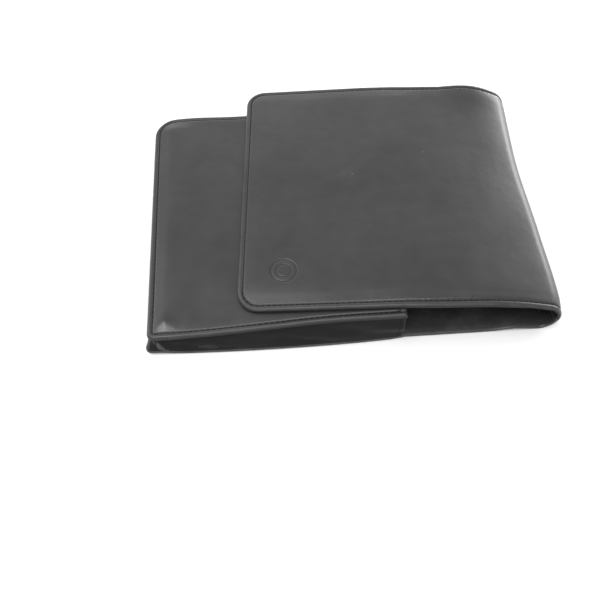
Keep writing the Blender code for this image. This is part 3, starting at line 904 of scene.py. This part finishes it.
def set_shader(field, shader, links, numbers):
    for key, value in links.items():
        field.tree.links.new(value.socket, shader.inputs[key])
    for key, value in numbers.items():
        shader.inputs[key].default_value = value


def grey(level, blue=0.0):
    return (level * (1 - blue), level, level * (1 + blue), 1)


SCUFFS = ((345.0, 88.0, 7.5), (330.0, 50.0, 6.5))
# painted shade: a panel's edge wall is darkened in colour below these depths, and so is its
# underside
EDGE_WALL_SHADE = (0.12, 0.32)


def scuffed(cut, cloud):
    """The rubbed patches on the flap."""
    scuff = 0.0
    for s, t, reach in SCUFFS:
        patch = 1 - cut.away_from((s * MM, t * MM, 0)).between(2 * MM, reach * MM)
        scuff = patch * cloud.between(0.35, 0.75) * 0.5 + scuff
    return scuff


def flecked(cut):
    """A few pale specks of dust."""
    chosen = cut.cells(70.0, "F1", 1).part("X").between(0.80, 0.84)
    return (1 - cut.cells(70.0).between(0.012, 0.022)) * chosen


def groove_and_ring_shade(cut, rim):
    """The seam's groove and the mark's rings, as a mask of painted shade that darkens them."""
    seam = 1 - (rim - STITCH_INSET).size().between(0.15 * MM, 0.6 * MM)
    pressed = cut.away_from((STRIP_END - MARK_FROM_END, MARK_FROM_NEAR, 0))
    rings = 1 - (pressed - OUTER_RING).size().between(0.2 * MM, 0.7 * MM)
    rings = 1 - (pressed - INNER_RING).size().between(0.15 * MM, 0.6 * MM) + rings
    return (seam * 0.8 + rings * 0.7).between(0.0, 1.0)


def polished_places(cut, rim, cloud):
    """The puckers beside a seam, and the places that handling has polished."""
    along = cut.part("X")
    ribs = (along * (2 * pi / PITCH) + cloud * 5.0).sine()
    beside = rim.between(3.2 * MM, 3.7 * MM) * (1 - rim.between(4.3 * MM, 6.0 * MM))
    beside = beside * cut.noise(260.0, 2.0).between(0.35, 0.62)
    held = (along - (STRIP_END - HANDLED_PLACE)).size()
    polished = beside * (1 - held.between(25 * MM, 60 * MM))
    corner = cut.away_from((10 * MM, 9 * MM, 0))
    return ribs * beside, polished + (1 - corner.between(1 * MM, 12 * MM)) * 0.9


def gusset_crease_highlight(cut):
    """A painted highlight along the crease from a gusset's head at the closed end down to its foot.
    """
    place = cut.part("X") * (1 / CREASE_RUN) + cut.part("Y") * (1 / CREASE_RISE)
    return 1 - (place - 1.15).size().between(0.06, 0.2)


def leather(name, dark=0.020, pale=0.031, rough=0.39, grain=1.0, shine=0.5, crease_highlight=False):
    made, shader, field = new_material(name)
    cut = field.node("ShaderNodeUVMap", None, None, "UV")
    rim = field.node("ShaderNodeAttribute", {"attribute_name": "rim"}, None, "Fac")
    under = field.node("ShaderNodeAttribute", {"attribute_name": "under"}, None, "Fac")
    broad, cloud, fine = cut.noise(30.0, 3.0), cut.noise(110.0, 3.0), cut.noise(900.0, 4.0, 0.6)
    edge_wall_shade = under.between(*EDGE_WALL_SHADE)
    rubbed = (1 - rim.between(0.1 * MM, 1.3 * MM)) * (1 - edge_wall_shade)
    scuff, sunk = scuffed(cut, cloud), groove_and_ring_shade(cut, rim)
    puckers, polished = polished_places(cut, rim, cloud)
    shade = broad.between(0.3, 0.7) * 0.55 + cloud.between(0.3, 0.75) * 0.3 + fine * 0.15
    colour = shade.mix(grey(dark, 0.01), grey(pale))
    worn, wear_and_highlight_level = rubbed * cloud.between(0.3, 0.6) * 0.55 + scuff * 0.35, pale * 2
    if crease_highlight:
        # painted highlight: the gusset's crease line joins the pale worn mask, and is paler still
        worn, wear_and_highlight_level = worn + gusset_crease_highlight(cut) * 0.6, 0.1
    colour = worn.mix(colour, grey(wear_and_highlight_level, 0.02))
    colour = flecked(cut).mix(colour, grey(0.19))
    # painted shade: the seam's groove and the mark's rings are darkened in colour
    colour = sunk.mix(colour, grey(0.004))
    # painted shade on the lower part of the edge wall and on the underside
    colour = edge_wall_shade.mix(colour, grey(0.005))
    roughness = rough + (cloud - 0.5) * 0.1 + (broad - 0.5) * 0.05 + scuff * 0.06 - rubbed * 0.05
    roughness = roughness + edge_wall_shade * 0.3 + sunk * 0.25 - polished * 0.15
    height = cut.cells(620.0) * 0.5 + cut.cells(1500.0) * 0.25 + fine * 0.35
    bumped = height.raised(0.16 * grain, 0.12 * MM)
    bumped = puckers.raised(0.15, 0.12 * MM, bumped)
    bumped = cut.noise(160.0, 2.0).raised(0.22, 0.4 * MM, bumped)
    set_shader(
        field,
        shader,
        {"Base Color": colour, "Roughness": roughness, "Normal": bumped},
        {"Specular IOR Level": shine, "Sheen Weight": 0.02, "Sheen Roughness": 0.5},
    )
    return made


def cloth(name):
    made, shader, field = new_material(name)
    cut = field.node("ShaderNodeUVMap", None, None, "UV")
    across_threads, along_threads = cut.part("X"), cut.part("Y")
    pick = 2 * pi / (0.55 * MM)
    warp = (across_threads * pick).sine()
    weft = (along_threads * pick).sine()
    weave = (warp * weft).size()
    slub = cut.stretched((260.0, 1100.0, 1)).noise(1.0, 2.0)
    worn = cut.noise(70.0, 3.0)
    shade = weave * 0.35 + slub * 0.35 + worn.between(0.35, 0.7) * 0.4
    colour = shade.mix(grey(0.004), grey(0.042, 0.01))
    bumped = (weave * 0.6 + slub * 0.5).raised(0.35, 0.12 * MM)
    bumped = cut.noise(300.0, 3.0).raised(0.8, 1.2 * MM, bumped)
    set_shader(
        field,
        shader,
        {"Base Color": colour, "Roughness": 0.72 + worn * 0.2, "Normal": bumped},
        {"Specular IOR Level": 0.35, "Sheen Weight": 0.08},
    )
    return made


def thread(name):
    made, shader, field = new_material(name)
    place = field.node("ShaderNodeTexCoord", None, None, "Object")
    fuzz = place.noise(2600.0, 2.0)
    strand = (place.part("X") * (2 * pi / (0.42 * MM)) + place.part("Y") * 9000.0).sine()
    colour = (fuzz * 0.7 + strand * 0.15).mix(grey(0.004), grey(0.016))
    set_shader(
        field,
        shader,
        {
            "Base Color": colour,
            "Roughness": 0.6 + fuzz * 0.2,
            "Normal": (fuzz + strand * 0.4).raised(0.5, 0.08 * MM),
        },
        {"Specular IOR Level": 0.15},
    )
    return made


def paper_floor():
    made, shader, field = new_material("pale_floor")
    place = field.node("ShaderNodeTexCoord", None, None, "Object")
    tone = place.noise(3.0, 2.0)
    colour = tone.mix(grey(0.90), grey(0.93))
    set_shader(field, shader, {"Base Color": colour, "Roughness": 0.8 + tone * 0.1}, {})
    return made


# Building the pieces


def finish_piece(obj, material, nodes, body=None, bend=None):
    obj.data.materials.clear()
    obj.data.materials.append(material)
    if nodes:
        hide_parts(*nodes)
    if bend:
        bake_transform(obj)
    else:
        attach(obj, body)
    return obj


def fold_point(e, z):
    """A point of the fold's section, half way along the fold."""
    return Vector((FOLD_START, 0, z)) + ALONG_FOLD * (WIDTH / 2) + ACROSS_FOLD * e + SHIFT


OUTERMOST = fold_point(SIDE_E, LOWER_RADIUS)
LOWER_BEND = ("case", "spine", fold_point(0, 0), OUTERMOST)
UPPER_BEND = ("spine", "flap", OUTERMOST, fold_point(-5.5 * MM, 21.5 * MM))

hide = leather("black_hide")
# The gussets' leather carries a painted highlight along the crease at the closed end.
gusset_hide = leather("gusset_hide", 0.004, 0.010, 0.6, 1.4, 0.22, crease_highlight=True)
lining_cloth = cloth("lining_cloth")
seam_thread = thread("seam_thread")

FLAP_FLAT = (WIDTH, STRIP_END - line_s(("q", Q_SIDE), WIDTH / 2))
BACK_FLAT = (WIDTH, line_s(("q", Q_SIDE), WIDTH / 2))
NEAR_GUSSET_CUT, FAR_GUSSET_CUT = 13 * MM, 16 * MM

flap_panel = finish_piece(
    add_flap(), hide, ["flap_leather", "flap_board"], bend=UPPER_BEND
)
back_panel = finish_piece(
    add_back(),
    hide,
    ["back_leather", "back_board", "spine_leather"],
    bend=LOWER_BEND,
)
front_panel = finish_piece(
    add_front(), hide, ["front_leather", "front_board"], "case"
)

back_cloth = finish_piece(
    add_back_lining(),
    lining_cloth,
    ["back_lining", "spine_lining"],
    bend=LOWER_BEND,
)
flap_cloth = finish_piece(
    add_flap_lining(), lining_cloth, ["flap_lining"], bend=UPPER_BEND
)
front_cloth = finish_piece(
    add_front_lining(), lining_cloth, ["front_lining"], "case"
)
mouth_hem = finish_piece(add_facing(), gusset_hide, ["mouth_facing"], "case")
back_cut = (BACK_FLAT[0] - 2 * BACK_LINING_INSET, BACK_FLAT[1])
flap_cut = (FLAP_FLAT[0] - 2 * LINING_INSET, FLAP_FLAT[1])

for place_name, side in (("near", 1), ("far", -1)):
    node = "gusset_" + place_name
    gusset = finish_piece(
        add_gusset(node + "_fold", side), gusset_hide, [node], "case"
    )
    inside = finish_piece(
        add_gusset_lining(node + "_cloth", side),
        lining_cloth,
        [node + "_lining"],
        "case",
    )
    depth = NEAR_GUSSET_CUT if side == 1 else FAR_GUSSET_CUT

flap_seam = seam_of(FLAP, ("q", Q_SIDE))
back_seam = seam_of(BACK, ("q", Q_SIDE))
front_seam = seam_of(FRONT, ("s", POUCH_DEPTH - STITCH_INSET))
finish_piece(
    add_stitches("flap_stitches", strip, flap_seam),
    seam_thread,
    ["flap_stitching", "spine_stitching_far"],
    bend=UPPER_BEND,
)
finish_piece(
    add_stitches("back_stitches", strip, back_seam),
    seam_thread,
    ["back_stitching", "spine_stitching_near"],
    bend=LOWER_BEND,
)
finish_piece(
    add_stitches("front_stitches", front, front_seam),
    seam_thread,
    ["front_stitching"],
    "case",
)

# The floor, light and camera


def add_floor():
    bpy.ops.object.select_all(action="DESELECT")
    bpy.ops.mesh.primitive_plane_add(size=6, location=(0, 0, -0.05 * MM))
    floor = bpy.context.object
    floor.name = "floor"
    floor.data.materials.append(paper_floor())


def add_light(name, place, size, power):
    data = bpy.data.lights.new(name, "AREA")
    data.shape, data.energy = "RECTANGLE", power
    data.size, data.size_y = size
    light = bpy.data.objects.new(name, data)
    light.location = place
    light.rotation_mode = "QUATERNION"
    light.rotation_quaternion = (-Vector(place)).to_track_quat("-Z", "Y")
    bpy.context.collection.objects.link(light)


def add_world(strength):
    world = bpy.data.worlds.new("soft_room")
    world.use_nodes = True
    background = world.node_tree.nodes["Background"]
    background.inputs["Color"].default_value = (1, 1, 1, 1)
    background.inputs["Strength"].default_value = strength
    bpy.context.scene.world = world


CAMERA_AZIMUTH, CAMERA_ELEVATION, CAMERA_ROLL = radians(-8.567), radians(59.576), radians(4.159)
CAMERA_DISTANCE, CAMERA_LENS = 337.152 * MM, 36.27
CAMERA_TARGET = Vector((81.9 * MM, 27.6 * MM, 0)) + SHIFT


def add_camera():
    flat = cos(CAMERA_ELEVATION)
    back = Vector(
        (sin(CAMERA_AZIMUTH) * flat, -cos(CAMERA_AZIMUTH) * flat, sin(CAMERA_ELEVATION))
    )
    right = (-back).cross(Vector((0, 0, 1))).normalized()
    up = right.cross(-back)
    side = right * cos(CAMERA_ROLL) + up * sin(CAMERA_ROLL)
    top = up * cos(CAMERA_ROLL) - right * sin(CAMERA_ROLL)
    data = bpy.data.cameras.new("camera")
    data.lens, data.sensor_width = CAMERA_LENS, 36
    data.shift_y = -0.0017
    data.clip_start, data.clip_end = 0.01, 20
    camera = bpy.data.objects.new("camera", data)
    turn = Matrix((side, top, back)).transposed().to_4x4()
    camera.matrix_world = Matrix.Translation(CAMERA_TARGET + back * CAMERA_DISTANCE) @ turn
    bpy.context.collection.objects.link(camera)
    bpy.context.scene.camera = camera


add_floor()
add_world(0.76)
add_light("right_softbox", (0.92, 0.64, 0.18), (0.7, 0.4), 7.4)
add_light("left_softbox", (-0.9, 0.35, 0.55), (0.5, 0.3), 2.5)
add_light("back_softbox", (0.05, 1.15, 0.42), (1.5, 0.45), 4.5)
add_light("top_softbox", (-0.25, -0.22, 1.2), (1.6, 0.2), 10)
add_camera()
bpy.context.scene.view_settings.view_transform = "Standard"
